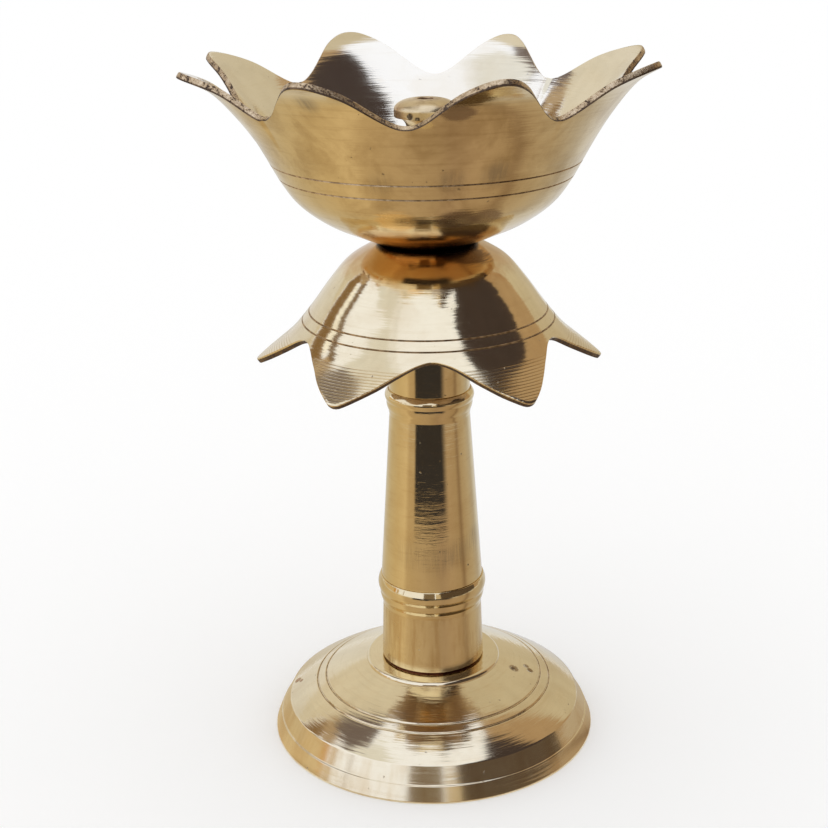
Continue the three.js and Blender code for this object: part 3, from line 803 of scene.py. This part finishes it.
# The nut's lower corners are chamfered by a cone, as a spun nut's are
def makeNut(steps=48, chamfer=0.5):
    low, high = (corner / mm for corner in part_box("base_nut"))
    bm = bmesh.new()
    bmesh.ops.create_circle(bm, cap_ends=False, segments=steps, radius=boreRadius)
    hexagon = bmesh.ops.create_circle(bm, cap_ends=False, segments=6, radius=high.x)
    bmesh.ops.rotate(bm, cent=(0, 0, 0), matrix=Matrix.Rotation(math.pi / 2, 3, "Z"), verts=hexagon["verts"])
    sides = {edge for vert in hexagon["verts"] for edge in vert.link_edges}
    bmesh.ops.subdivide_edges(bm, edges=list(sides), cuts=steps // 6 - 1)
    bmesh.ops.bridge_loops(bm, edges=bm.edges[:])
    raised = bmesh.ops.extrude_face_region(bm, geom=bm.faces[:])
    lifted = [item for item in raised["geom"] if isinstance(item, bmesh.types.BMVert)]
    bmesh.ops.translate(bm, vec=(0, 0, high.z - low.z), verts=lifted)
    bmesh.ops.translate(bm, vec=(0, 0, low.z), verts=bm.verts)
    flatRadius = high.x * math.cos(math.pi / 6)
    for vert in bm.verts:
        past = math.hypot(vert.co.x, vert.co.y) - flatRadius
        if vert.co.z < low.z + 0.01 and past > 0.05:
            vert.co.z += past * chamfer
    finishPiece(bm, "hex_nut", "base_nut", "pedestal", [steelFinish])


makeWickHolder()
makeRing("leather_seal", "bowl_seal", "bowl", leatherFinish)
makeRing("wide_washer", "base_washer", "pedestal", steelFinish)
makeRod()
makeNut()


# The studio: a white floor and world, and round the lamp a light tent with dark and golden cards in it,
# which only the brass sees. A card's stations are degrees from the front, and low and high in metres.
studio = {
    "floor": 6.0, "floorColour": (1.0, 1.0, 1.0), "reach": 0.8, "tentRadius": 2.0, "tentHeight": 2.2,
    "tentLift": 0.01, "tent": (1.0, 1.07, 1.33), "mottle": 0.2,
    "cards": {
        "dark wall right": (
            (0.053, 0.037, 0.034), ((14, 0.27, 0.30), (29, 0.3, 1.0), (55, 0.25, 1.45), (102, 0.2, 2.1)),
        ),
        "gold wall right": ((0.46, 0.32, 0.19), ((102, 0.1, 2.0), (124, 0.1, 2.0))),
        "cream wall right": ((0.60, 0.53, 0.41), ((124, 0.02, 2.0), (150, 0.02, 2.0), (180, 0.02, 2.0))),
        "cream low left": ((0.79, 0.78, 0.79), ((-180, 0.02, 0.35), (-150, 0.02, 0.35), (-124, 0.02, 0.35))),
        "cream wall left": ((0.73, 0.68, 0.60), ((-180, 0.35, 2.0), (-150, 0.35, 2.0), (-125, 0.35, 2.0))),
        "pale patch left": ((1.1, 1.12, 1.2), ((-112.5, 0.30, 0.60), (-106.5, 0.30, 0.64))),
        "brown patch left": ((0.26, 0.16, 0.075), ((-124, 0.30, 0.68), (-112.5, 0.30, 0.68))),
        "gold patch left": ((0.48, 0.36, 0.24), ((-125, 0.68, 0.80), (-116, 0.68, 0.86), (-106, 0.68, 0.92))),
        "dark patch left": (
            (0.17, 0.135, 0.135),
            ((-125, 0.80, 1.9), (-116, 0.86, 1.9), (-106, 0.96, 1.75), (-97, 1.0, 1.6), (-92, 1.1, 1.5)),
        ),
        "shaded wall left": ((0.83, 0.85, 0.92), ((-96, 0.95, 2.1), (-72, 0.95, 2.1), (-50, 0.95, 2.1))),
        "shaded wall front": ((0.92, 0.96, 1.12), ((-50, 0.95, 2.1), (-40, 0.95, 2.1))),
        "stripe left": ((0.22, 0.145, 0.085), ((-106.4, 0.25, 0.80), (-100.5, 0.25, 0.80))),
        "brown front": ((0.22, 0.17, 0.12), ((-18, 0.001, 0.36), (5, 0.001, 0.40))),
        "gold gap front": ((0.66, 0.55, 0.40), ((7, 0.001, 0.29), (17, 0.001, 0.29))),
        "brown low right": ((0.105, 0.075, 0.052), ((17, 0.001, 0.30), (98, 0.001, 0.32))),
        "tan low right": ((0.45, 0.32, 0.20), ((98, 0.001, 0.30), (124, 0.001, 0.30))),
        "tan low left": ((0.70, 0.55, 0.34), ((-124, 0.001, 0.20), (-87, 0.001, 0.22))),
        "orange low left": ((0.66, 0.38, 0.13), ((-87, 0.001, 0.20), (-81, 0.001, 0.20))),
        "tan gap low left": ((0.62, 0.47, 0.31), ((-79, 0.001, 0.22), (-74, 0.001, 0.22))),
        "grey low left": ((0.50, 0.42, 0.38), ((-63, 0.04, 0.26), (-61, 0.04, 0.26))),
    },
}
# The tabletop's glow by degrees from the front, and what it fades to far off and in the dark wedge
mat = {
    "radius": 0.9, "lift": 0.0004,
    "sectors": (
        (-180, (0.86, 0.88, 0.92)), (-155, (0.66, 0.63, 0.58)), (-120, (0.61, 0.52, 0.37)),
        (-90, (0.64, 0.51, 0.32)), (-66, (0.72, 0.58, 0.38)), (-56, (0.56, 0.43, 0.27)),
        (-20, (0.51, 0.39, 0.26)), (8, (0.44, 0.33, 0.22)), (22, (0.41, 0.30, 0.21)),
        (42, (0.47, 0.35, 0.24)), (66, (0.43, 0.32, 0.21)), (75, (0.29, 0.20, 0.13)),
        (84, (0.46, 0.36, 0.25)), (104, (0.52, 0.44, 0.34)), (124, (0.50, 0.46, 0.42)),
        (140, (0.66, 0.66, 0.68)), (180, (0.80, 0.82, 0.86)),
    ),
    "far": (0.72, 0.71, 0.69), "farFrom": 0.28, "farTo": 0.55, "dark": (0.04, 0.037, 0.042),
    "darkFrom": 0.19, "darkTo": 0.206, "darkEdges": (-44, -37, 28, 46),
}


# An even glow, or one with darker clouds in it
def glow(name, colour, mottle=0.0):
    finish = Finish(name)
    cloud = finish.noise(finish.add("ShaderNodeTexCoord", None, None, 3), 7.0, 3.0, 0.6)
    darker = tuple(channel * 0.6 for channel in colour)
    shade = finish.blend(finish.step(cloud, 0.4, 0.65) * mottle, colour, darker)
    return finish.surface(finish.add("ShaderNodeEmission", None, {"Color": shade, "Strength": 1.0}))


def stageMesh(name, bm, finish):
    mesh = bpy.data.meshes.new(name)
    bm.to_mesh(mesh)
    bm.free()
    mesh.materials.append(finish)
    piece = bpy.data.objects.new(name, mesh)
    bpy.context.scene.collection.objects.link(piece)
    return piece


def onlyReflected(card):
    card.visible_camera = False
    card.visible_diffuse = False
    card.visible_shadow = False
    card.visible_transmission = False
    card.visible_volume_scatter = False


def wallCard(name, colour, stations):
    bm = bmesh.new()
    edges = []
    for azimuth, low, high in stations:
        side, ahead = math.sin(math.radians(azimuth)), -math.cos(math.radians(azimuth))
        foot = (side * studio["reach"], ahead * studio["reach"])
        edges.append([bm.verts.new((*foot, z)) for z in (low, high)])
    for left, right in zip(edges, edges[1:]):
        bm.faces.new((left[0], right[0], right[1], left[1]))
    onlyReflected(stageMesh(name, bm, glow(name, colour, studio["mottle"])))


def makeTent():
    bm = bmesh.new()
    bmesh.ops.create_cone(
        bm, cap_ends=True, segments=64, radius1=studio["tentRadius"], radius2=studio["tentRadius"],
        depth=studio["tentHeight"],
    )
    bmesh.ops.translate(bm, vec=(0, 0, studio["tentHeight"] / 2 + studio["tentLift"]), verts=bm.verts)
    floorCap = [part for part in bm.faces if part.calc_center_median().z < 0.1]
    bmesh.ops.delete(bm, geom=floorCap, context="FACES_ONLY")
    onlyReflected(stageMesh("light tent", bm, glow("light tent", studio["tent"])))


# The tabletop that the brass reflects
def makeMat():
    finish = Finish("tabletop glow")
    x, y, z = finish.split(finish.add("ShaderNodeTexCoord", None, None, 3))
    radius = finish.maths("SQRT", x * x + y * y)
    azimuth = finish.maths("ARCTAN2", x, y * -1.0) * (180 / math.pi)
    colour = finish.ramp((azimuth + 180.0) / 360.0, [((a + 180) / 360, c) for a, c in mat["sectors"]])
    colour = finish.blend(finish.step(radius, mat["farFrom"], mat["farTo"]), colour, mat["far"])
    start, full, fade, end = mat["darkEdges"]
    ahead = finish.step(azimuth, start, full) * finish.step(azimuth, end, fade)
    shadow = ahead * finish.step(radius, mat["darkFrom"], mat["darkTo"])
    colour = finish.blend(shadow, colour, mat["dark"])
    bm = bmesh.new()
    bmesh.ops.create_circle(bm, cap_ends=True, segments=64, radius=mat["radius"])
    bmesh.ops.translate(bm, vec=(0, 0, mat["lift"]), verts=bm.verts)
    glowing = finish.surface(finish.add("ShaderNodeEmission", None, {"Color": colour, "Strength": 1.0}))
    onlyReflected(stageMesh("tabletop", bm, glowing))


def makeStudio():
    bm = bmesh.new()
    bmesh.ops.create_grid(bm, x_segments=1, y_segments=1, size=studio["floor"])
    finish = Finish("floor white")
    white = finish.add("ShaderNodeBsdfDiffuse", None, {"Color": (*studio["floorColour"], 1.0)})
    stageMesh("floor", bm, finish.surface(white))
    makeTent()
    makeMat()
    for name, (colour, stations) in studio["cards"].items():
        wallCard(name, colour, stations)
    world = bpy.context.scene.world or bpy.data.worlds.new("studio")
    bpy.context.scene.world = world
    world.use_nodes = True
    background = world.node_tree.nodes["Background"]
    background.inputs["Color"].default_value = (1.0, 1.0, 1.0, 1.0)
    background.inputs["Strength"].default_value = 1.0
    bpy.context.scene.view_settings.view_transform = "Standard"


makeStudio()
print("studio made")

# Fitted to the photo: the place in millimetres, the turns in degrees and the focal length in pixels
view = {
    "place": (-3.546, -325.10, 192.95), "pitch": 19.548, "roll": -0.983, "focal": 1526.8, "width": 828,
    "sensor": 36.0, "clipStart": 0.01,
}


def makeCamera():
    data = bpy.data.cameras.new("camera")
    data.sensor_width = view["sensor"]
    data.lens = view["focal"] / view["width"] * view["sensor"]
    data.clip_start = view["clipStart"]
    camera = bpy.data.objects.new("camera", data)
    pitch = Matrix.Rotation(math.radians(90 - view["pitch"]), 4, "X")
    roll = Matrix.Rotation(math.radians(view["roll"]), 4, "Z")
    camera.matrix_world = Matrix.Translation(Vector(view["place"]) * mm) @ pitch @ roll
    bpy.context.scene.collection.objects.link(camera)
    bpy.context.scene.camera = camera


makeCamera()
